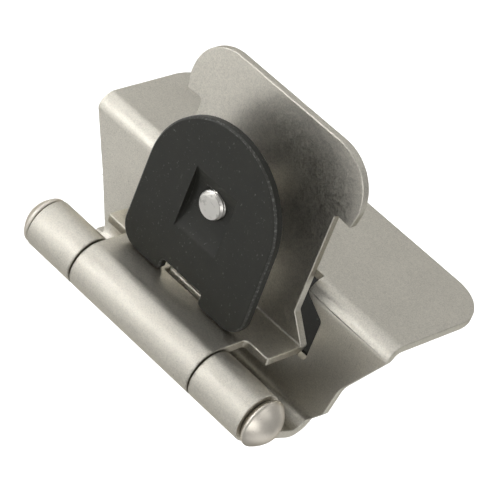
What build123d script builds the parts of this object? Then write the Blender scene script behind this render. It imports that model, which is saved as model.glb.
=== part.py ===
"""Double demountable cabinet hinge: two folded leaves on one pin, each with a clamp plate and screw."""
from build123d import *
import os
from math import cos, radians, sin, sqrt, tan

# Frame of the part, in millimetres. The hinge stands as it hangs on a cabinet, with the pin upright.
# The origin is the middle of the pin's axis. +Z runs along the pin to its button head, +Y points into
# the cabinet, and the door reaches away to -X. The model is the closed hinge. Heights of the plates
# are measured from the pin's axis towards -X, so they are called rises.

# Sheet steel of the two leaves, and the knuckles that are rolled from it
SHEET = 1.5
KNUCKLE_RADIUS = 4.55
KNUCKLE_WRAP = 292.0
BARREL_LENGTH = 52.2
MIDDLE_KNUCKLE_LENGTH = 28.9
KNUCKLE_GAP = 0.3
CORNER_RADIUS = 0.8

# Hinge pin with its button head, and the domed tip on its other end
PIN_PLAY = 0.05
PIN_HEAD_RADIUS = 4.4
PIN_HEAD_SEAT_RADIUS = 3.6
PIN_HEAD_FLARE = 0.9
PIN_HEAD_RIM = 0.5
PIN_HEAD_CROWN = 1.5
PIN_HEAD_GAP = 0.1
TIP_RADIUS = 4.4
TIP_RIM = 0.4
TIP_CROWN = 1.3
TIP_SEAT = 0.9
TIP_GAP = 0.1

# Door leaf: a web along the door's edge and a T-shaped plate behind the door
DOOR_FACE = 14.65
DOOR_BEND_RADIUS = 1.8
WEB_SHOULDER = 6.85
WEB_WIDTH = 39.0
T_FLARE_TOP = 9.1
T_WAIST_WIDTH = 31.6
T_TIP_WIDTH = 38.4
T_BAR_WIDTH = 39.4
T_BAR_FOOT = 28.9
T_BAR_WIDEST = 31.6
T_BAR_SIDE_RADIUS = 4.0
T_TIP_DROP = 0.3
T_TOP = 40.2
T_TOP_CORNER = 8.0

# Tongue lanced out of the door web, which keeps the clamp plate square
TONGUE_WIDTH = 8.2
TONGUE_FOOT = 12.0
TONGUE_TIP = 6.5
TONGUE_LIFT = 0.6
LANCE_GAP = 0.5
LANCE_CORNER = 0.4

# Frame leaf: a web under the barrel, a face plate on the frame and a flange in the cabinet's opening
FRAME_WEB_SLOPE = 17.5
FACE_FRONT = 14.55
FACE_BEND_RADIUS = 4.3
FLANGE_BEND_RADIUS = 3.0
FLANGE_RISE = 16.35
FLANGE_BACK = 39.9
FLANGE_LENGTH = 69.85
FLANGE_CORNER = 8.0
FACE_SHOULDER_RISE = 13.6
FACE_SHOULDER_RADIUS = 2.0
FACE_KNEE_WIDTH = 58.2
FACE_KNEE_RISE = 3.2
FACE_KNEE_RADIUS = 6.0
FACE_FOOT_WIDTH = 56.4
FACE_FOOT_DROP = 2.8
FACE_HEEL_DROP = 5.6
FACE_TRIM_WIDTH = 49.4
MIDDLE_NOTCH_DEPTH = 5.0

# Window that the T-plate lies in while the hinge is closed
WINDOW_FOOT = 2.9
WINDOW_WIDTH = 42.2
WINDOW_WIDE_TOP = 11.1
WINDOW_NECK_WIDTH = 33.4
WINDOW_NECK_RISE = 13.9
WINDOW_BACK = 17.3

# Clamp plates, pressed from thicker sheet, and the shape that both have around the screw
JAW_SHEET = 1.55
JAW_EDGE_BEVEL = 0.35
PRESS_WIDTH = 9.6
PRESS_LENGTH = 12.4
PRESS_DEPTH = 1.4
PRESS_SHIFT = 1.4

# Door clamp plate
DOOR_SCREW_RISE = 21.45
DOOR_JAW_FRONT = 4.35
DOOR_JAW_WIDTH = 28.7
DOOR_JAW_FOOT_WIDTH = 29.2
DOOR_JAW_LOBE_RADIUS = 4.2
DOOR_JAW_PLAY = 0.1
DOOR_NOTCH_WIDTH = 9.3
DOOR_NOTCH_DEPTH = 2.4
DOOR_NOTCH_CORNER = 1.0

# Frame clamp plate
FRAME_SCREW_DEPTH = 24.0
FRAME_GRIP = 12.0
FRAME_JAW_WIDTH = 44.0
FRAME_JAW_DEPTH = 15.0
FRAME_JAW_CORNER = 7.5
FRAME_JAW_TOE_CORNER = 1.5
FRAME_JAW_PLAY = 0.45

# Clamp screws
SCREW_RADIUS = 2.5
SCREW_PLAY = 0.05
SCREW_HOLE_PLAY = 0.25
SCREW_END_CHAMFER = 0.3
SCREW_END_REACH = 0.35
SCREW_HEAD_RADIUS = 4.2
SCREW_HEAD_RIM = 1.2
SCREW_HEAD_CROWN = 0.8
SCREW_HEAD_GAP = 0.05
DRIVE_LENGTH = 5.4
DRIVE_WIDTH = 1.3
DRIVE_DEPTH = 1.2

# Sizes that follow from the ones above
BORE_RADIUS = KNUCKLE_RADIUS - SHEET
PIN_RADIUS = BORE_RADIUS - PIN_PLAY
WRAP_RADIUS = KNUCKLE_RADIUS - SHEET / 2
DOOR_BACK = DOOR_FACE + SHEET
FACE_BACK = FACE_FRONT + SHEET
FLANGE_UNDERSIDE = FLANGE_RISE - SHEET
OUTER_KNUCKLE_START = MIDDLE_KNUCKLE_LENGTH / 2 + KNUCKLE_GAP
DOOR_JAW_FOOT = KNUCKLE_RADIUS + DOOR_JAW_PLAY
FRAME_JAW_FRONT = FACE_BACK + FRAME_JAW_PLAY
FRAME_JAW_INNER = FLANGE_UNDERSIDE - FRAME_GRIP
SCREW_HOLE_RADIUS = SCREW_RADIUS + SCREW_HOLE_PLAY
REACH = 2 * FLANGE_LENGTH


def along_y(sketch, start, end):
    """Prism of a sketch drawn in X and Z, from one Y to another."""
    plane = Plane(origin=(0, start, 0), x_dir=(1, 0, 0), z_dir=(0, 1, 0))
    return extrude(plane * sketch, amount=end - start)


def along_x(sketch, start, end):
    """Prism of a sketch drawn in Y and Z, from one X to another."""
    plane = Plane(origin=(start, 0, 0), x_dir=(0, 1, 0), z_dir=(1, 0, 0))
    return extrude(plane * sketch, amount=end - start)


def centred(profile, length):
    """Prism of a profile drawn in X and Y, as long on each side of the middle of the pin."""
    return extrude(profile, amount=length / 2, both=True)


def symmetric(corners):
    """Face from half of its outline. A corner is its place, its half width and its radius."""
    half = [(place, width) for place, width, _ in corners]
    radii = [radius for _, _, radius in corners]
    other_half = [(place, -width) for place, width in reversed(half)]
    outline = FilletPolyline(*half, *other_half, radius=radii + radii[::-1], close=True)
    return make_face(outline)


def folded_strip(knuckle_start, turn, fold_points, fold_radii):
    """Section of a leaf: a knuckle rolled round the pin that runs on as a flat web with folds."""
    wrap = CenterArc((0, 0), WRAP_RADIUS, knuckle_start, turn)
    run = FilletPolyline(*fold_points, radius=fold_radii)
    return trace(Wire(wrap.edges() + run.edges()), line_width=SHEET)


def make_door_leaf():
    """Middle knuckle, web along the door's edge and the T-plate behind the door."""
    web = -WRAP_RADIUS
    plate = DOOR_FACE + SHEET / 2
    bend = DOOR_BEND_RADIUS - SHEET / 2
    section = folded_strip(180, KNUCKLE_WRAP, [(web, 0), (web, plate), (-T_TOP, plate)], [bend])
    side = [
        (-2 * KNUCKLE_RADIUS, MIDDLE_KNUCKLE_LENGTH / 2, 0),
        (WEB_SHOULDER, MIDDLE_KNUCKLE_LENGTH / 2, CORNER_RADIUS),
        (WEB_SHOULDER, WEB_WIDTH / 2, CORNER_RADIUS / 2),
        (DOOR_BACK + SHEET, WEB_WIDTH / 2, 0),
    ]
    front = [
        (-KNUCKLE_RADIUS, WEB_WIDTH / 2, 0),
        (-T_FLARE_TOP, T_WAIST_WIDTH / 2, CORNER_RADIUS),
        (-T_BAR_FOOT, T_WAIST_WIDTH / 2, CORNER_RADIUS),
        (-T_BAR_FOOT + T_TIP_DROP, T_TIP_WIDTH / 2, CORNER_RADIUS / 2),
        (-T_BAR_WIDEST, T_BAR_WIDTH / 2, T_BAR_SIDE_RADIUS),
        (-T_TOP, T_BAR_WIDTH / 2 - CORNER_RADIUS, T_TOP_CORNER),
    ]
    web_outline = along_x(symmetric(side), -KNUCKLE_RADIUS, 2 * KNUCKLE_RADIUS)
    plate_outline = along_y(symmetric(front), DOOR_FACE - SHEET, DOOR_BACK + SHEET)
    leaf = centred(section, REACH) & (web_outline + plate_outline)
    return leaf - screw_hole_door() - lance_cut() + tongue()


def lance_cut():
    """Slot round three sides of the tongue, through the web."""
    slot = Pos((TONGUE_TIP + TONGUE_FOOT) / 2 - LANCE_GAP / 2, 0) * Rectangle(
        TONGUE_FOOT - TONGUE_TIP + LANCE_GAP, TONGUE_WIDTH + 2 * LANCE_GAP
    )
    return along_x(slot, -KNUCKLE_RADIUS - SHEET, -KNUCKLE_RADIUS + 2 * SHEET)


def tongue():
    """Tongue left standing in its slot, lifted at its free end."""
    top = -KNUCKLE_RADIUS
    side = Polyline(
        (top, TONGUE_FOOT),
        (top - TONGUE_LIFT, TONGUE_TIP),
        (top - TONGUE_LIFT + SHEET, TONGUE_TIP),
        (top + SHEET, TONGUE_FOOT),
        close=True,
    )
    blank = centred(make_face(side), TONGUE_WIDTH)
    plan = symmetric([(TONGUE_TIP, TONGUE_WIDTH / 2, LANCE_CORNER), (TONGUE_FOOT, TONGUE_WIDTH / 2, 0)])
    return blank & along_x(plan, top - SHEET, top + 2 * SHEET)


def screw_hole_door():
    """Plain hole for the clamp screw in the T-plate."""
    circle = Pos(-DOOR_SCREW_RISE, 0) * Circle(SCREW_HOLE_RADIUS)
    return along_y(circle, DOOR_FACE - SHEET, DOOR_BACK + SHEET)


def screw_hole_flange():
    """Plain hole for the clamp screw in the flange."""
    circle = Pos(FRAME_SCREW_DEPTH, 0) * Circle(SCREW_HOLE_RADIUS)
    return along_x(circle, -FLANGE_RISE - SHEET, -FLANGE_UNDERSIDE + SHEET)


def make_frame_leaf():
    """Two outer knuckles, web, face plate with the window, and the flange."""
    slope = radians(FRAME_WEB_SLOPE)
    web_start = (WRAP_RADIUS * cos(slope), -WRAP_RADIUS * sin(slope))
    face = FACE_FRONT + SHEET / 2
    heel = web_start[0] + (face - web_start[1]) * tan(slope)
    flange = -FLANGE_RISE + SHEET / 2
    bends = [FACE_BEND_RADIUS - SHEET / 2, FLANGE_BEND_RADIUS - SHEET / 2]
    points = [web_start, (heel, face), (flange, face), (flange, FLANGE_BACK)]
    section = folded_strip(-FRAME_WEB_SLOPE, -KNUCKLE_WRAP, points, bends)
    barrel = BARREL_LENGTH / 2
    bend_start = FACE_BACK - FACE_BEND_RADIUS
    bend_end = FACE_FRONT + FLANGE_BEND_RADIUS
    barrel_zone = along_y(Rectangle(REACH, BARREL_LENGTH), -2 * KNUCKLE_RADIUS, bend_start)
    front = [
        (FLANGE_RISE, barrel, 0),
        (FACE_HEEL_DROP, barrel, CORNER_RADIUS),
        (FACE_FOOT_DROP, FACE_FOOT_WIDTH / 2, CORNER_RADIUS),
        (-FACE_KNEE_RISE, FACE_KNEE_WIDTH / 2, FACE_KNEE_RADIUS),
        (-FACE_SHOULDER_RISE, FLANGE_LENGTH / 2, FACE_SHOULDER_RADIUS),
        (-2 * FLANGE_RISE, FLANGE_LENGTH / 2, 0),
    ]
    face_zone = along_y(symmetric(front), bend_start, bend_end) - trimmed_foot()
    top = [
        (bend_end, FLANGE_LENGTH / 2, 0),
        (FLANGE_BACK, FLANGE_LENGTH / 2, FLANGE_CORNER),
    ]
    flange_zone = along_x(symmetric(top), -2 * FLANGE_RISE, 0)
    leaf = centred(section, REACH) & (barrel_zone + face_zone + flange_zone)
    return leaf - middle_notch() - window() - screw_hole_flange()


def trimmed_foot():
    """Corner cut off the face plate's foot at its lower end, as wide as the barrel below the knee."""
    knee = FACE_KNEE_WIDTH / 2
    slant = Polyline(
        (-FACE_KNEE_RISE, -knee),
        (FACE_HEEL_DROP, -FACE_TRIM_WIDTH / 2),
        (FACE_HEEL_DROP, -FLANGE_LENGTH),
        (-FACE_KNEE_RISE, -FLANGE_LENGTH),
        close=True,
    )
    plane = Plane(origin=(0, FACE_FRONT - SHEET, 0), x_dir=(1, 0, 0), z_dir=(0, -1, 0))
    return extrude(plane * make_face(slant), amount=FACE_BACK, both=True)


def middle_notch():
    """Gap between the outer knuckles that the middle knuckle turns in."""
    size = 4 * KNUCKLE_RADIUS
    gap = Pos(0, MIDDLE_NOTCH_DEPTH - size / 2) * Rectangle(size, size)
    return centred(gap, 2 * OUTER_KNUCKLE_START)


def window():
    """Opening through the face plate and the bend above it, with clearance all round the T-plate."""
    face = [
        (-WINDOW_FOOT, WINDOW_WIDTH / 2, CORNER_RADIUS),
        (-WINDOW_WIDE_TOP, WINDOW_WIDTH / 2, CORNER_RADIUS),
        (-WINDOW_NECK_RISE, WINDOW_NECK_WIDTH / 2, CORNER_RADIUS),
        (-2 * FLANGE_RISE, WINDOW_NECK_WIDTH / 2, 0),
    ]
    in_face = along_y(symmetric(face), FACE_FRONT - SHEET, WINDOW_BACK)
    flange = [
        (FACE_FRONT - SHEET, WINDOW_NECK_WIDTH / 2, 0),
        (WINDOW_BACK, WINDOW_NECK_WIDTH / 2, CORNER_RADIUS),
    ]
    in_flange = along_x(symmetric(flange), -2 * FLANGE_RISE, -WINDOW_NECK_RISE)
    return in_face + in_flange


def make_pin():
    """Hinge pin with a button head on its upper end."""
    half = BARREL_LENGTH / 2
    head = half + PIN_HEAD_GAP
    flare = head + PIN_HEAD_FLARE
    rim = flare + PIN_HEAD_RIM
    foot = -half - TIP_GAP - TIP_SEAT
    profile = [
        Line((0, foot), (PIN_RADIUS, foot)),
        Line((PIN_RADIUS, foot), (PIN_RADIUS, head)),
        Line((PIN_RADIUS, head), (PIN_HEAD_SEAT_RADIUS, head)),
        Line((PIN_HEAD_SEAT_RADIUS, head), (PIN_HEAD_RADIUS, flare)),
        Line((PIN_HEAD_RADIUS, flare), (PIN_HEAD_RADIUS, rim)),
        crown((PIN_HEAD_RADIUS, rim), (0, rim + PIN_HEAD_CROWN)),
        Line((0, rim + PIN_HEAD_CROWN), (0, foot)),
    ]
    return revolve(Plane.XZ * make_face(profile), axis=Axis.Z)


def crown(rim, apex):
    """Arc of a domed end, from its rim up to its apex on the axis."""
    rise = apex[1] - rim[1]
    width = rim[0]
    radius = (width * width + rise * rise) / (2 * abs(rise))
    middle_height = apex[1] - (radius - sqrt(radius * radius - width * width / 4)) * rise / abs(rise)
    return ThreePointArc(rim, (width / 2, middle_height), apex)


def make_tip():
    """Domed tip pressed over the lower end of the pin."""
    top = -BARREL_LENGTH / 2 - TIP_GAP
    rim = top - TIP_RIM
    seat = top - TIP_SEAT
    bore = PIN_RADIUS + PIN_PLAY / 2
    profile = [
        Line((bore, top), (TIP_RADIUS, top)),
        Line((TIP_RADIUS, top), (TIP_RADIUS, rim)),
        crown((TIP_RADIUS, rim), (0, rim - TIP_CROWN)),
        Line((0, rim - TIP_CROWN), (0, seat)),
        Line((0, seat), (bore, seat)),
        Line((bore, seat), (bore, top)),
    ]
    return revolve(Plane.XZ * make_face(profile), axis=Axis.Z)


def jaw_plate(outline):
    """Clamp plate lying in X and Y, its outer face at the top and its foot towards -X.

    Its outer edge is bevelled. The middle is pressed inwards into a short bridge, sheared along both
    sides, and the screw's thread runs through the bridge at the origin.
    """
    plate = extrude(outline, amount=-JAW_SHEET)
    plate = chamfer(plate.faces().sort_by(Axis.Z)[-1].edges(), JAW_EDGE_BEVEL)
    hollow = Pos(-PRESS_SHIFT, 0) * press_prism(0)
    bulge = Pos(-PRESS_SHIFT, 0) * press_prism(-JAW_SHEET)
    thread = Cylinder(SCREW_RADIUS + SCREW_PLAY, 8 * JAW_SHEET)
    return plate + bulge - hollow - thread


def press_prism(level):
    """Shallow segment of a cylinder that hangs below a level, across the pressed width."""
    half = PRESS_LENGTH / 2
    arc = ThreePointArc((-half, level), (0, level - PRESS_DEPTH), (half, level))
    chord = Line((half, level), (-half, level))
    side = Plane.XZ * make_face([arc, chord])
    return extrude(side, amount=PRESS_WIDTH / 2, both=True)


def door_jaw_outline():
    """Half-round top about the screw, straight sides, and two toes either side of the notch."""
    rise = DOOR_SCREW_RISE
    foot = DOOR_JAW_FOOT - rise
    notch = foot + DOOR_NOTCH_DEPTH
    top = DOOR_JAW_WIDTH / 2
    below = [
        (foot, DOOR_JAW_FOOT_WIDTH / 2, DOOR_JAW_LOBE_RADIUS),
        (foot, DOOR_NOTCH_WIDTH / 2, DOOR_NOTCH_CORNER),
        (notch, DOOR_NOTCH_WIDTH / 2, DOOR_NOTCH_CORNER / 2),
    ]
    half = [(0, top)] + [(place, width) for place, width, _ in below]
    radii = [0] + [radius for _, _, radius in below]
    other = [(place, -width) for place, width in reversed(half)]
    lower = make_face(FilletPolyline(*half, *other, radius=radii + radii[::-1], close=True))
    upper = Circle(top) & Pos(top / 2, 0) * Rectangle(top, 2 * top)
    return Sketch() + [lower, upper]


def make_door_jaw():
    """Clamp plate that enters the slot in the door's edge."""
    plate = jaw_plate(door_jaw_outline())
    plane = Plane(origin=(-DOOR_SCREW_RISE, DOOR_JAW_FRONT, 0), x_dir=(-1, 0, 0), z_dir=(0, -1, 0))
    return plane * plate


def make_frame_jaw():
    """Clamp plate that enters the slot in the cabinet's frame."""
    toe = FRAME_JAW_FRONT - FRAME_SCREW_DEPTH
    half = [
        (toe, FRAME_JAW_WIDTH / 2, FRAME_JAW_TOE_CORNER),
        (toe + FRAME_JAW_DEPTH, FRAME_JAW_WIDTH / 2, FRAME_JAW_CORNER),
    ]
    plate = jaw_plate(symmetric(half))
    outer_face = -FRAME_JAW_INNER + JAW_SHEET
    plane = Plane(origin=(outer_face, FRAME_SCREW_DEPTH, 0), x_dir=(0, 1, 0), z_dir=(1, 0, 0))
    return plane * plate


def clamp_screw(seat, end):
    """Screw on the Z axis with its pan head above the seat height and its end face below."""
    head = seat + SCREW_HEAD_GAP
    rim = head + SCREW_HEAD_RIM
    apex = rim + SCREW_HEAD_CROWN
    tip = SCREW_RADIUS - SCREW_END_CHAMFER
    profile = [
        Line((0, end), (tip, end)),
        Line((tip, end), (SCREW_RADIUS, end + SCREW_END_CHAMFER)),
        Line((SCREW_RADIUS, end + SCREW_END_CHAMFER), (SCREW_RADIUS, head)),
        Line((SCREW_RADIUS, head), (SCREW_HEAD_RADIUS, head)),
        Line((SCREW_HEAD_RADIUS, head), (SCREW_HEAD_RADIUS, rim)),
        crown((SCREW_HEAD_RADIUS, rim), (0, apex)),
        Line((0, apex), (0, end)),
    ]
    screw = revolve(Plane.XZ * make_face(profile), axis=Axis.Z)
    arm = Box(DRIVE_LENGTH, DRIVE_WIDTH, 2 * DRIVE_DEPTH)
    cross = Pos(0, 0, apex) * (arm + Rot(0, 0, 90) * arm)
    return screw - cross


def make_door_screw():
    """Screw through the T-plate, with its head behind the door leaf."""
    end = DOOR_JAW_FRONT + SCREW_END_REACH
    plane = Plane(origin=(-DOOR_SCREW_RISE, 0, 0), x_dir=(1, 0, 0), z_dir=(0, 1, 0))
    return plane * clamp_screw(DOOR_BACK, end)


def make_frame_screw():
    """Screw through the flange, with its head on the flange's open side."""
    end = FRAME_JAW_INNER - JAW_SHEET + SCREW_END_REACH
    plane = Plane(origin=(0, FRAME_SCREW_DEPTH, 0), x_dir=(0, 1, 0), z_dir=(-1, 0, 0))
    return plane * clamp_screw(FLANGE_RISE, end)


def export_all(parts):
    """One STEP file for each piece."""
    os.makedirs("parts", exist_ok=True)
    for name, solid in parts.items():
        export_step(solid, f"parts/{name}.step")


export_all({
    "frame_leaf": make_frame_leaf(),
    "door_leaf": make_door_leaf(),
    "hinge_pin": make_pin(),
    "pin_tip": make_tip(),
    "door_jaw": make_door_jaw(),
    "door_screw": make_door_screw(),
    "frame_jaw": make_frame_jaw(),
    "frame_screw": make_frame_screw(),
})
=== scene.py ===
"""Double demountable cabinet hinge: satin nickel leaves, black clamp plates, on a plain white ground."""
from math import ceil, cos, hypot, pi, radians, sin

import bpy
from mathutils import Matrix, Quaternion, Vector


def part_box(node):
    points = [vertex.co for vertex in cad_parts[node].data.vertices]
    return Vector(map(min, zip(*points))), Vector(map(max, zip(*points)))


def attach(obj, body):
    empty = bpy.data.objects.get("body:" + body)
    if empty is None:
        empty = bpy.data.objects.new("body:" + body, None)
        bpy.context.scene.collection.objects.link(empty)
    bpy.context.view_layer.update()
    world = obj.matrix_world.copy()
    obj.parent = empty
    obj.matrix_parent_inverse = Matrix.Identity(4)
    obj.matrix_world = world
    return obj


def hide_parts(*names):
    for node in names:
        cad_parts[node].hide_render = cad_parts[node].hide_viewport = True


MM = 0.001

# Camera, from the photograph's own straight lines, with its angles in degrees. The roll slopes the pin.
CAMERA_AIM = Vector((-13.27, 13.45, 4.40)) * MM
CAMERA_DISTANCE = 463.5 * MM
CAMERA_BEARING = -128.60
CAMERA_HEIGHT = 26.90
CAMERA_ROLL = 131.87
CAMERA_CLIP = (0.01, 50)
FOCAL_LENGTH = 209.1
SENSOR_WIDTH = 36.0

# White ground and soft light
FLOOR_LEVEL = -150 * MM
FLOOR_SIZE = 8.0
FLOOR_WHITE = 0.94
WORLD_BRIGHTNESS = 0.42

# Lamps close above the ground, which light it in round pools: bearing in degrees and power in watts
POOL_LAMPS = ((180, 0.20), (238, 0.42), (275, 0.10))
POOL_REACH = 260 * MM
POOL_HEIGHT = 50 * MM
POOL_LAMP_SIZE = 120 * MM
POOL_SPREAD = radians(90)

# Broad lamp over the ground behind the hinge
BACKGROUND_LAMP = Vector((230, 280, 100)) * MM
BACKGROUND_SIZE = 450 * MM
BACKGROUND_POWER = 0.55
BACKGROUND_SPREAD = radians(80)

# Large soft panels turned to the hinge: bearing and height in degrees, power in watts
PANELS = (
    (0, 45, 0.92),
    (45, 25, 0.80),
    (90, 5, 0.79),
    (135, 5, 0.48),
    (180, 45, 1.32),
    (270, 45, 3.04),
)
PANEL_DISTANCE = 1.0
PANEL_SIZE = 0.7

# Edges rolled over by the press tool or turned off round: their widths, and the bend that makes an edge
SHEET_EDGE = 0.20 * MM
PLATE_EDGE = 0.12 * MM
PIN_EDGE = 0.20 * MM
SHARP_EDGE = radians(38)
EDGE_STEPS = 2

# Shading is smooth up to these angles. The flats have this weight in it, against the rolled edges.
ROLLED_SHADING = radians(50)
SCREW_SHADING = radians(40)
FLATS_WEIGHT = 80

# Points this close are merged, and faces this flat are joined
POINT_MERGE = 0.06 * MM
FLAT_ANGLE = radians(0.3)

# What counts as on a cut, and as at one height
CUT_TOLERANCE = 0.0001 * MM
LEVEL_TOLERANCE = 0.001 * MM

# Seams between the knuckles, above and below the middle of the pin
KNUCKLE_SEAM = 14.6 * MM

# The end of the lower knuckle, at BARREL_END, is drawn back by SEAM_SHIFT
BARREL_END = 26.1 * MM
KNUCKLE_REACH = 4.6 * MM
SEAM_SHIFT = 0.8 * MM
SEAM_PLAY = 0.1 * MM

# Domes at the ends of the pin: their heights along it, as they come and as they are made
TIP_HEIGHT = 1.8 * MM
TIP_NEW_HEIGHT = 3.25 * MM
CROWN_START = 27.6 * MM
CROWN_HEIGHT = 1.5 * MM
CROWN_NEW_HEIGHT = 2.6 * MM
DOME_PLAY = 0.01 * MM

# Back edge of the frame clamp plate, which is drawn on by JAW_DEEPER
JAW_BACK = 31.5 * MM
JAW_DEEPEN_FROM = 26.0 * MM
JAW_DEEPER = 1.6 * MM

# How much of a chamfer's direction is across its clamp plate, at least and at most
CHAMFER_SLOPES = (0.60, 0.80)

# Clamp screws: M5 with its thread
SCREW_RADIUS = 2.5 * MM
SCREW_SIDES = 48
THREAD_PITCH = 0.8 * MM
THREAD_DEPTH = 0.42 * MM
THREAD_CREST = 0.1 * MM
THREAD_ROOT = SCREW_RADIUS - THREAD_DEPTH
SPARE_TURNS = 2
SCREW_END_CHAMFER = 0.20 * MM
NECK_LENGTH = 0.9 * MM
HEAD_RADIUS = 4.2 * MM
HEAD_RIM = 1.2 * MM
HEAD_CROWN = 0.8 * MM
CROWN_STEPS = 6
DRIVE_LENGTH = 5.4 * MM
DRIVE_WIDTH = 1.3 * MM
DRIVE_DEPTH = 1.2 * MM
DRIVE_TAPER = 0.7

# Where each screw's end face and the underside of its head are along its own axis
DOOR_SCREW_END = 4.70 * MM
DOOR_SCREW_SEAT = 16.20 * MM
FRAME_SCREW_END = 1.65 * MM
FRAME_SCREW_SEAT = 16.40 * MM

# Colours
WHITE = (1.0, 1.0, 1.0)
SHEET_TINT = (0.60, 0.575, 0.51)
PIN_TINT = (0.64, 0.60, 0.53)
SPECULAR_SHARE = 0.9
PIT_COLOUR = (0.20, 0.19, 0.16)
# Colour of the darker band beside the seams between the knuckles
SEAM_DARK_COLOUR = (0.13, 0.11, 0.08)
BLACK_COATING = (0.0165, 0.0165, 0.0125)
WORN_COATING = (0.036, 0.036, 0.031)
SPECK_COLOUR = (0.14, 0.14, 0.13)
ZINC_TINT = (0.56, 0.545, 0.51)
ZINC_SMUDGE = (0.30, 0.29, 0.27)

# Shares of the marks in the colour below them
SEAM_DARK_STRENGTH = 0.6
MARK_STRENGTH = 0.35
SPECK_STRENGTH = 0.6
SMUDGE_STRENGTH = 0.5

# Roughness of the coatings: the black one's middle and its spread, the zinc's and what a smudge adds
BLACK_ROUGHNESS = 0.50
BLACK_SPREAD = 0.12
ZINC_ROUGHNESS = 0.30
SMUDGE_ROUGHNESS = 0.2

# How far the black coating's darkest and palest parts are from its colour, as a share
BLACK_CONTRAST = 0.18

# Sizes of the grain, mottle and clouds of the finishes
NICKEL_GRAIN = 0.24 * MM
NICKEL_MOTTLE = 0.9 * MM
NICKEL_CLOUD = 9 * MM
NICKEL_PITS = 0.45 * MM
NICKEL_RELIEF = 0.012 * MM
SCRATCH_WIDTH = 0.16 * MM
SCRATCH_STRETCH = 9
SCRATCH_PATCH = 7 * MM
BLACK_SPECKS = 0.5 * MM
BLACK_RUBBING = 2.5 * MM
BLACK_CLOUD = 6 * MM
BLACK_GRAIN = 0.35 * MM
ZINC_SMUDGES = 0.8 * MM
ZINC_GRAIN = 0.3 * MM
COATING_RELIEF = 0.02 * MM

# Darker band beside a seam, in millimetres from it: full, gone, and how far its edge strays
SEAM_DARK_FULL = 0.05
SEAM_DARK_GONE = 0.55
SEAM_DARK_STRAY = 1.4

# Distances from the pin's axis where the darker band beside the seams and the haze of the knuckles end,
# and the unit of their ramp
SEAM_DARK_REACH = 5.0 * MM
HAZE_REACH = 5.8 * MM
AXIS_UNIT = 10 * MM


# Modelling steps


def deselect_all():
    """Nothing selected and no mode but object mode."""
    if bpy.context.object and bpy.context.object.mode != "OBJECT":
        bpy.ops.object.mode_set(mode="OBJECT")
    bpy.ops.object.select_all(action="DESELECT")


def take(obj):
    """Makes one object the only selected and active one."""
    deselect_all()
    obj.select_set(True)
    bpy.context.view_layer.objects.active = obj


def edit(obj):
    """Goes into edit mode on one object with nothing selected."""
    take(obj)
    bpy.ops.object.mode_set(mode="EDIT")
    bpy.ops.mesh.select_all(action="DESELECT")


def done():
    """Back to object mode."""
    bpy.ops.object.mode_set(mode="OBJECT")


def apply_modifier(obj, kind, **settings):
    """Adds one modifier, sets it and applies it."""
    take(obj)
    modifier = obj.modifiers.new(kind.title(), kind)
    for name, value in settings.items():
        setattr(modifier, name, value)
    bpy.ops.object.modifier_apply(modifier=modifier.name)


def smooth(obj, angle):
    """Smooth shading, with edges sharper than the angle kept."""
    take(obj)
    bpy.ops.object.shade_smooth_by_angle(angle=angle)


def copy_of(node, name, *materials):
    """Merged copy of a solid piece. Each flat is two faces that meet in its middle, so none has a hole."""
    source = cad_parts[node]
    piece = bpy.data.objects.new(name, source.data.copy())
    bpy.context.collection.objects.link(piece)
    piece.data.materials.clear()
    for material in materials:
        piece.data.materials.append(material)
    edit(piece)
    bpy.ops.mesh.select_all(action="SELECT")
    bpy.ops.mesh.remove_doubles(threshold=POINT_MERGE)
    bpy.ops.mesh.bisect(plane_co=(0, 0, 0), plane_no=(0, 0, 1), threshold=CUT_TOLERANCE)
    bpy.ops.mesh.mark_seam()
    bpy.ops.mesh.select_all(action="SELECT")
    bpy.ops.mesh.dissolve_limited(angle_limit=FLAT_ANGLE, delimit={"SEAM"})
    done()
    return piece


def rolled_edges(piece, width):
    """Small round on every sharp edge, with the flats kept flat."""
    apply_modifier(
        piece, "BEVEL", width=width, segments=EDGE_STEPS, limit_method="ANGLE", angle_limit=SHARP_EDGE,
        use_clamp_overlap=False, miter_outer="MITER_ARC",
    )
    smooth(piece, ROLLED_SHADING)
    apply_modifier(piece, "WEIGHTED_NORMAL", keep_sharp=True, weight=FLATS_WEIGHT)


def stand_for(piece, node, body):
    """The piece takes the node's place and moves with its body."""
    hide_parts(node)
    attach(piece, body)


# Materials


def opaque(colour, share=1.0):
    """A colour made darker or lighter by a share, with its alpha."""
    return (*[min(1.0, share * part) for part in colour], 1.0)


class Value:
    """A number socket that takes part in Python expressions."""

    def __init__(self, shader, socket):
        self.shader = shader
        self.socket = socket

    def maths(self, operation, *others):
        """One Math node that starts from this value."""
        return self.shader.node("ShaderNodeMath", {"operation": operation}, [self, *others])

    def __add__(self, other):
        return self.maths("ADD", other)

    def __mul__(self, other):
        return self.maths("MULTIPLY", other)

    def __sub__(self, other):
        return self.maths("SUBTRACT", other)

    def __rsub__(self, other):
        return self.shader.node("ShaderNodeMath", {"operation": "SUBTRACT"}, [other, self])

    __radd__ = __add__
    __rmul__ = __mul__


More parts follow.
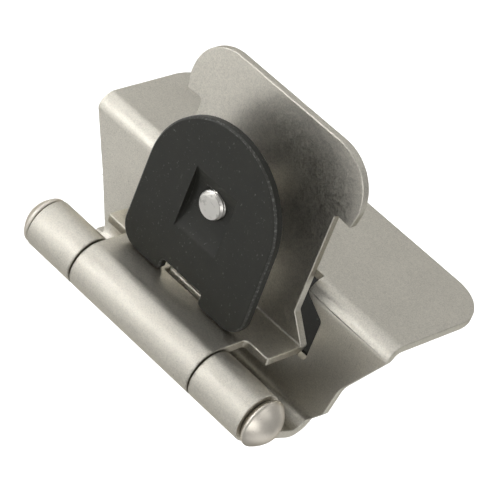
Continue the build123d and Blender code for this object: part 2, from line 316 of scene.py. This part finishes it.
class Shader:
    """A node material with one principled surface."""

    def __init__(self, name, constants):
        self.material = bpy.data.materials.new(name)
        self.material.use_nodes = True
        self.tree = self.material.node_tree
        self.surface = self.tree.nodes["Principled BSDF"]
        for socket, value in constants.items():
            self.surface.inputs[socket].default_value = value
        self.place = self.node("ShaderNodeTexCoord", output="Object")

    def node(self, kind, settings=None, inputs=(), output=0):
        """Any node: its settings first, then the values or links of its sockets."""
        node = self.tree.nodes.new(kind)
        for name, value in (settings or {}).items():
            if name == "stops":
                self.set_stops(node.color_ramp, value)
            else:
                setattr(node, name, value)
        pairs = inputs.items() if isinstance(inputs, dict) else enumerate(inputs)
        for key, value in pairs:
            self.feed(node.inputs[key], value)
        return Value(self, node.outputs[output])

    def set_stops(self, ramp, stops):
        """Puts a ramp's stops in place: pairs of a position and a level."""
        while len(ramp.elements) < len(stops):
            ramp.elements.new(0.5)
        for element, (position, level) in zip(ramp.elements, stops):
            element.position = position
            element.color = (level, level, level, 1.0)

    def feed(self, socket, value):
        """Links a value to a socket, or sets the socket to a number or a colour."""
        if isinstance(value, Value):
            self.tree.links.new(value.socket, socket)
        else:
            socket.default_value = value

    def set(self, socket, value):
        """Links a varied value to the surface."""
        self.feed(self.surface.inputs[socket], value)

    def noise(self, size, detail=3.0, roughness=0.55, stretch=(1, 1, 1), shift=0.0):
        """Noise whose lumps are about as large as the size, in metres. A shift keeps two noises apart."""
        scale = [1 / size / s for s in stretch]
        place = self.node(
            "ShaderNodeMapping", {},
            {"Vector": self.place, "Location": (shift, shift, shift), "Scale": scale},
        )
        return self.node(
            "ShaderNodeTexNoise", {},
            {"Vector": place, "Scale": 1.0, "Detail": detail, "Roughness": roughness}, "Fac",
        )

    def axis_distance(self):
        """Distance from the pin's axis, in metres."""
        parts = [self.node("ShaderNodeSeparateXYZ", {}, [self.place], axis) for axis in ("X", "Y")]
        squares = parts[0] * parts[0] + parts[1] * parts[1]
        return squares.maths("POWER", 0.5)

    def seam_darkening(self, mottle):
        """Darker colour beside the seams between the knuckles, ragged along its edge, as a mask."""
        height = self.node("ShaderNodeSeparateXYZ", {}, [self.place], "Z")
        off_seam = (height.maths("ABSOLUTE") - KNUCKLE_SEAM).maths("ABSOLUTE")
        ragged = off_seam * (1 / MM) - (mottle - 0.5) * SEAM_DARK_STRAY
        close = self.ramp(ragged, (SEAM_DARK_FULL, 1.0), (SEAM_DARK_GONE, 0.0))
        return close * self.on_knuckles(SEAM_DARK_REACH) * SEAM_DARK_STRENGTH

    def on_knuckles(self, reach):
        """Mask of the knuckles, which fades out up to a distance from the pin's axis."""
        distance = self.axis_distance() * (1 / AXIS_UNIT)
        return self.ramp(distance, (KNUCKLE_REACH / AXIS_UNIT, 1.0), (reach / AXIS_UNIT, 0.0))

    def scratches(self):
        """Few short fine lines, lying in two directions, as a mask."""
        level = (SCRATCH_STRETCH, SCRATCH_STRETCH, 1)
        upright = (1, 1, SCRATCH_STRETCH)
        along = self.noise(SCRATCH_WIDTH, detail=0.0, stretch=level, shift=5.5)
        across = self.noise(SCRATCH_WIDTH, detail=0.0, stretch=upright, shift=8.8)
        marks = [self.ramp(lines, (0.76, 0.0), (0.81, 1.0)) for lines in (along, across)]
        rubbed = self.ramp(self.noise(SCRATCH_PATCH, detail=1.0, shift=6.1), (0.56, 0.0), (0.62, 1.0))
        return (marks[0] + marks[1]) * rubbed

    def ramp(self, value, *stops):
        """Levels along a value, as a number."""
        return self.node("ShaderNodeValToRGB", {"stops": stops}, {"Fac": value}, "Color")

    def mix(self, factor, low, high):
        """Colour from low to high."""
        return self.node("ShaderNodeMix", {"data_type": "RGBA"}, {0: factor, 6: low, 7: high}, 2)

    def bump(self, height, strength, distance):
        """Surface relief from a height."""
        normal = self.node(
            "ShaderNodeBump", {},
            {"Height": height, "Strength": strength, "Distance": distance}, "Normal",
        )
        self.set("Normal", normal)


def satin_nickel(name, tint, gloss, haze, contrast, knuckle_haze=0.0):
    """Plated sheet: glossy and hazy grains side by side, small pits and faint scratches."""
    shader = Shader(name, {"Metallic": 1.0, "Specular Tint": opaque(tint, SPECULAR_SHARE)})
    mottle = shader.noise(NICKEL_MOTTLE, detail=4.0, roughness=0.65)
    cloud = shader.noise(NICKEL_CLOUD, detail=2.0, shift=3.1)
    grain = shader.noise(NICKEL_GRAIN, detail=2.0, roughness=0.6, shift=1.3)
    amount = shader.ramp(mottle * 0.2 + cloud * 0.12 + grain * 0.68, (0.36, 0.0), (0.64, 1.0))
    plated = shader.mix(amount, opaque(tint, 1 - contrast), opaque(tint, 1 + 0.6 * contrast))
    pits = shader.ramp(shader.noise(NICKEL_PITS, detail=1.0, shift=9.2), (0.74, 0.0), (0.80, 1.0))
    marks = pits * MARK_STRENGTH + shader.scratches() * MARK_STRENGTH
    marked = shader.mix(marks, plated, opaque(PIT_COLOUR))
    # The sheet's colour is made darker beside the seams between the knuckles.
    shader.set("Base Color", shader.mix(shader.seam_darkening(mottle), marked, opaque(SEAM_DARK_COLOUR)))
    hazy = shader.ramp(grain * 0.88 + mottle * 0.12, (0.36, 0.0), (0.66, 1.0))
    shader.set("Roughness", gloss + haze * hazy + knuckle_haze * shader.on_knuckles(HAZE_REACH))
    shader.bump(grain, 0.35, NICKEL_RELIEF)
    return shader.material


def black_plate(name, base, worn):
    """Matt black coating, with pale specks that grow with its wear."""
    shader = Shader(name, {"Metallic": 0.0, "Specular IOR Level": 0.3})
    fleck = shader.noise(BLACK_SPECKS, detail=3.0, roughness=0.6)
    rubbing = shader.noise(BLACK_RUBBING, detail=5.0, roughness=0.7, shift=5.0)
    rubbed = shader.ramp(rubbing, (0.45, 0.0), (0.7, 1.0))
    specks = shader.ramp(fleck, (0.64 - worn, 0.0), (0.76 - worn, 1.0))
    cloud = shader.noise(BLACK_CLOUD, detail=3.0, shift=2.2)
    low = opaque(base, 1 - BLACK_CONTRAST)
    high = opaque(base, 1 + BLACK_CONTRAST)
    coat = shader.mix(cloud * 0.5 + rubbed * 0.5, low, high)
    shader.set("Base Color", shader.mix(specks * SPECK_STRENGTH, coat, opaque(SPECK_COLOUR)))
    shader.set("Roughness", BLACK_ROUGHNESS + BLACK_SPREAD * (cloud - 0.5))
    shader.bump(shader.noise(BLACK_GRAIN, detail=3.0), 0.2, COATING_RELIEF)
    return shader.material


def bright_zinc(name):
    """Bright plated screw with a few smudges."""
    shader = Shader(name, {"Metallic": 1.0})
    smudge = shader.ramp(shader.noise(ZINC_SMUDGES, detail=3.0, shift=4.0), (0.56, 0.0), (0.66, 1.0))
    colour = shader.mix(smudge * SMUDGE_STRENGTH, opaque(ZINC_TINT), opaque(ZINC_SMUDGE))
    shader.set("Base Color", colour)
    shader.set("Roughness", ZINC_ROUGHNESS + SMUDGE_ROUGHNESS * smudge)
    shader.bump(shader.noise(ZINC_GRAIN), 0.1, COATING_RELIEF)
    return shader.material


def white_ground():
    """Plain matt white."""
    constants = {"Base Color": opaque(WHITE, FLOOR_WHITE), "Roughness": 1.0, "Specular IOR Level": 0.0}
    return Shader("white_ground", constants).material


# Pieces


def drawn_line(name, points):
    """Line through points in X and Z, pulled on from a single point."""
    deselect_all()
    bpy.ops.mesh.primitive_plane_add(size=1 * MM, location=(points[0][0], 0, points[0][1]))
    line = bpy.context.object
    line.name = name
    bpy.ops.object.transform_apply(location=True, rotation=True, scale=True)
    bpy.ops.object.mode_set(mode="EDIT")
    bpy.ops.mesh.select_mode(type="VERT")
    bpy.ops.mesh.select_all(action="SELECT")
    bpy.ops.mesh.merge(type="CENTER")
    for before, after in zip(points, points[1:]):
        step = (after[0] - before[0], 0, after[1] - before[1])
        bpy.ops.mesh.extrude_region_move(TRANSFORM_OT_translate={"value": step})
    done()
    return line


def cut_across(rod, height, side):
    """Cuts a rod at a height, and takes away what is below (-1) or above (1)."""
    edit(rod)
    bpy.ops.mesh.select_all(action="SELECT")
    bpy.ops.mesh.bisect(
        plane_co=(0, 0, height), plane_no=(0, 0, side), clear_outer=True, threshold=CUT_TOLERANCE,
    )
    done()


def threaded_shank(name, end, seat):
    """Threaded rod on the Z axis, open at its end and under its head. Its spare turns are cut off."""
    flank = (THREAD_PITCH - 2 * THREAD_CREST) / 2
    first = end - THREAD_PITCH
    rod = drawn_line(name, [
        (THREAD_ROOT, first),
        (SCREW_RADIUS, first + flank),
        (SCREW_RADIUS, first + flank + THREAD_CREST),
        (THREAD_ROOT, first + 2 * flank + THREAD_CREST),
        (THREAD_ROOT, first + THREAD_PITCH),
    ])
    turns = ceil((seat - end) / THREAD_PITCH) + SPARE_TURNS
    apply_modifier(
        rod, "SCREW", axis="Z", angle=2 * pi, screw_offset=THREAD_PITCH, iterations=turns,
        steps=SCREW_SIDES, render_steps=SCREW_SIDES,
    )
    edit(rod)
    bpy.ops.mesh.select_all(action="SELECT")
    bpy.ops.mesh.remove_doubles(threshold=LEVEL_TOLERANCE)
    done()
    cut_across(rod, end, -1)
    cut_across(rod, seat, 1)
    return rod


def shape_shank(rod, end, seat):
    """Lead-in chamfer at the end, and a neck as thin as the thread's root under the head."""
    for vertex in rod.data.vertices:
        radius = hypot(vertex.co.x, vertex.co.y)
        limit = SCREW_RADIUS - SCREW_END_CHAMFER + (vertex.co.z - end)
        if vertex.co.z > seat - NECK_LENGTH:
            limit = THREAD_ROOT
        factor = min(radius, limit) / radius
        vertex.co.x *= factor
        vertex.co.y *= factor


def select_rim(rod, height):
    """Selects the open edge at a height, and stays in edit mode."""
    edit(rod)
    bpy.ops.mesh.select_mode(type="EDGE")
    done()
    for edge in rod.data.edges:
        ends = [rod.data.vertices[i].co.z for i in edge.vertices]
        edge.select = all(abs(z - height) < LEVEL_TOLERANCE for z in ends)
    bpy.ops.object.mode_set(mode="EDIT")


def grow_rim(rise, scale, height):
    """Pulls the selected rim on by a rise, and scales it about the axis."""
    bpy.ops.mesh.extrude_region_move(TRANSFORM_OT_translate={"value": (0, 0, rise)})
    bpy.ops.transform.resize(value=(scale, scale, 1), center_override=(0, 0, height + rise))


def pan_head(rod, seat):
    """Pulls the open top of a shank out and up into a pan head, and gives the height of its top."""
    select_rim(rod, seat)
    grow_rim(0, HEAD_RADIUS / THREAD_ROOT, seat)
    grow_rim(HEAD_RIM, 1, seat)
    radius = HEAD_RADIUS
    height = seat + HEAD_RIM
    for step in range(1, CROWN_STEPS):
        turn = pi / 2 * step / CROWN_STEPS
        ring = HEAD_RADIUS * cos(turn)
        top = seat + HEAD_RIM + HEAD_CROWN * sin(turn)
        grow_rim(top - height, ring / radius, height)
        radius = ring
        height = top
    bpy.ops.mesh.edge_face_add()
    bpy.ops.mesh.select_all(action="SELECT")
    bpy.ops.mesh.normals_make_consistent(inside=False)
    done()
    return height


def cut_slot(rod, turn, top):
    """Cuts one tapered arm of the cross recess."""
    deselect_all()
    bpy.ops.mesh.primitive_cube_add(size=1, location=(0, 0, top))
    arm = bpy.context.object
    arm.scale = (DRIVE_LENGTH, DRIVE_WIDTH, 2 * DRIVE_DEPTH)
    arm.rotation_euler = (0, 0, turn)
    bpy.ops.object.transform_apply(location=True, rotation=True, scale=True)
    for vertex in arm.data.vertices:
        if vertex.co.z < top:
            vertex.co.x *= DRIVE_TAPER
            vertex.co.y *= DRIVE_TAPER
    apply_modifier(rod, "BOOLEAN", object=arm, operation="DIFFERENCE", solver="EXACT")
    bpy.data.objects.remove(arm)


def draw_back_knuckle(leaf):
    """Draws the lower knuckle's end back a little, to where the tip's dome starts."""
    for vertex in leaf.data.vertices:
        near = hypot(vertex.co.x, vertex.co.y) < KNUCKLE_REACH
        if near and vertex.co.z < -BARREL_END + SEAM_PLAY:
            vertex.co.z += SEAM_SHIFT


def stretch_dome(rod, side, start, height, new_height, shift=0.0):
    """Stretches the dome at one end of the pin along it, and shifts it towards the middle."""
    for vertex in rod.data.vertices:
        past = side * vertex.co.z - start
        if past > -DOME_PLAY:
            vertex.co.z = side * (start - shift + past * new_height / height)


def wear_chamfer(plate, across):
    """Gives the clamp plate's narrow chamfer the worn coating, the plate's second material."""
    for face in plate.data.polygons:
        slope = abs(getattr(face.normal, across))
        if CHAMFER_SLOPES[0] < slope < CHAMFER_SLOPES[1]:
            face.material_index = 1


def deepen_jaw(jaw):
    """Draws the frame clamp plate's back edge on a little, where the window shows it."""
    for vertex in jaw.data.vertices:
        share = max(0.0, (vertex.co.y - JAW_DEEPEN_FROM) / (JAW_BACK - JAW_DEEPEN_FROM))
        vertex.co.y += JAW_DEEPER * share ** 2


def clamp_screw(node, body, end, seat, outwards):
    """Threaded screw in a node's place: its axis leaves the clamp plate towards outwards."""
    name = node + "_threaded"
    screw = threaded_shank(name, end, seat)
    shape_shank(screw, end, seat)
    select_rim(screw, end)
    bpy.ops.mesh.edge_face_add()
    done()
    top = pan_head(screw, seat)
    for turn in (0, pi / 2):
        cut_slot(screw, turn, top)
    low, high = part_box(node)
    middle = (Vector(low) + Vector(high)) / 2
    take(screw)
    screw.rotation_mode = "QUATERNION"
    screw.rotation_quaternion = outwards.to_track_quat("Z", "Y")
    screw.location = middle - outwards * middle.dot(outwards)
    bpy.ops.object.transform_apply(location=True, rotation=True, scale=True)
    smooth(screw, SCREW_SHADING)
    screw.data.materials.append(zinc)
    stand_for(screw, node, body)


# Stage


def towards(bearing, height, distance):
    """Point at a bearing and a height in degrees, seen from the hinge."""
    level = distance * cos(radians(height))
    return Vector((
        level * cos(radians(bearing)),
        level * sin(radians(bearing)),
        distance * sin(radians(height)),
    ))


def set_camera():
    """The photograph's camera."""
    data = bpy.data.cameras.new("camera")
    camera = bpy.data.objects.new("camera", data)
    bpy.context.collection.objects.link(camera)
    outwards = towards(CAMERA_BEARING, CAMERA_HEIGHT, 1)
    roll = Quaternion((0, 0, 1), radians(CAMERA_ROLL))
    camera.location = CAMERA_AIM + outwards * CAMERA_DISTANCE
    camera.rotation_mode = "QUATERNION"
    camera.rotation_quaternion = (-outwards).to_track_quat("-Z", "Y") @ roll
    data.lens = FOCAL_LENGTH
    data.sensor_width = SENSOR_WIDTH
    data.clip_start, data.clip_end = CAMERA_CLIP
    bpy.context.scene.camera = camera


def soft_light(name, place, size, power, aim, spread=pi):
    """Square soft light that the camera doesn't see itself."""
    data = bpy.data.lights.new(name, "AREA")
    data.shape = "SQUARE"
    data.size = size
    data.energy = power
    data.spread = spread
    light = bpy.data.objects.new(name, data)
    bpy.context.collection.objects.link(light)
    light.location = place
    light.rotation_mode = "QUATERNION"
    light.rotation_quaternion = aim.to_track_quat("-Z", "Y")
    light.visible_camera = False


def set_stage():
    """White ground, even white surroundings and soft lights."""
    deselect_all()
    bpy.ops.mesh.primitive_plane_add(size=FLOOR_SIZE, location=(0, 0, FLOOR_LEVEL))
    floor = bpy.context.object
    floor.name = "floor"
    floor.data.materials.append(white_ground())
    world = bpy.data.worlds.new("studio")
    world.use_nodes = True
    background = world.node_tree.nodes["Background"]
    background.inputs["Color"].default_value = opaque(WHITE)
    background.inputs["Strength"].default_value = WORLD_BRIGHTNESS
    bpy.context.scene.world = world
    straight_down = Vector((0, 0, -1))
    for bearing, power in POOL_LAMPS:
        place = towards(bearing, 0, POOL_REACH)
        place.z = POOL_HEIGHT
        soft_light(f"pool_{bearing}", place, POOL_LAMP_SIZE, power, straight_down, POOL_SPREAD)
    for bearing, height, power in PANELS:
        place = towards(bearing, height, PANEL_DISTANCE)
        soft_light(f"panel_{bearing}", place, PANEL_SIZE, power, -place)
    soft_light(
        "background", BACKGROUND_LAMP, BACKGROUND_SIZE, BACKGROUND_POWER, straight_down, BACKGROUND_SPREAD,
    )
    bpy.context.scene.view_settings.view_transform = "Standard"


# The whole


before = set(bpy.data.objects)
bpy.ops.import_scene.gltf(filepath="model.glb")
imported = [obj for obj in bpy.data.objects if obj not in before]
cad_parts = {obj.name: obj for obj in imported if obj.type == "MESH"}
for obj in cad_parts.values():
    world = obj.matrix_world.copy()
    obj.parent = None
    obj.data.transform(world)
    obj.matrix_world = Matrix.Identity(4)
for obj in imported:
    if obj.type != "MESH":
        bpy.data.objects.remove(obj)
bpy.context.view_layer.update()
set_camera()
set_stage()

nickel_sheet = satin_nickel(
    "nickel_sheet", SHEET_TINT, gloss=0.28, haze=0.27, contrast=0.22, knuckle_haze=0.05,
)
nickel_pin = satin_nickel("nickel_pin", PIN_TINT, gloss=0.36, haze=0.06, contrast=0.05)
black = black_plate("black_plate", BLACK_COATING, worn=0.0)
black_worn = black_plate("black_worn_edge", WORN_COATING, worn=0.12)
zinc = bright_zinc("bright_zinc")

# Leaves
for node, body in (("frame_leaf", "frame"), ("door_leaf", "door")):
    leaf = copy_of(node, node + "_sheet", nickel_sheet)
    if node == "frame_leaf":
        draw_back_knuckle(leaf)
    rolled_edges(leaf, SHEET_EDGE)
    stand_for(leaf, node, body)

# Pin and its tip
for node in ("hinge_pin", "pin_tip"):
    rod = copy_of(node, node + "_turned", nickel_pin)
    if node == "pin_tip":
        stretch_dome(rod, -1, BARREL_END, TIP_HEIGHT, TIP_NEW_HEIGHT, shift=SEAM_SHIFT)
    else:
        stretch_dome(rod, 1, CROWN_START, CROWN_HEIGHT, CROWN_NEW_HEIGHT)
    rolled_edges(rod, PIN_EDGE)
    stand_for(rod, node, "frame")

# Clamp plates
for node, body, across in (("door_jaw", "door_clamp", "y"), ("frame_jaw", "frame_clamp", "x")):
    plate = copy_of(node, node + "_plate", black, black_worn)
    if node == "frame_jaw":
        deepen_jaw(plate)
    wear_chamfer(plate, across)
    rolled_edges(plate, PLATE_EDGE)
    stand_for(plate, node, body)

# Clamp screws
clamp_screw("door_screw", "door_clamp_screw", DOOR_SCREW_END, DOOR_SCREW_SEAT, Vector((0, 1, 0)))
clamp_screw("frame_screw", "frame_clamp_screw", FRAME_SCREW_END, FRAME_SCREW_SEAT, Vector((-1, 0, 0)))
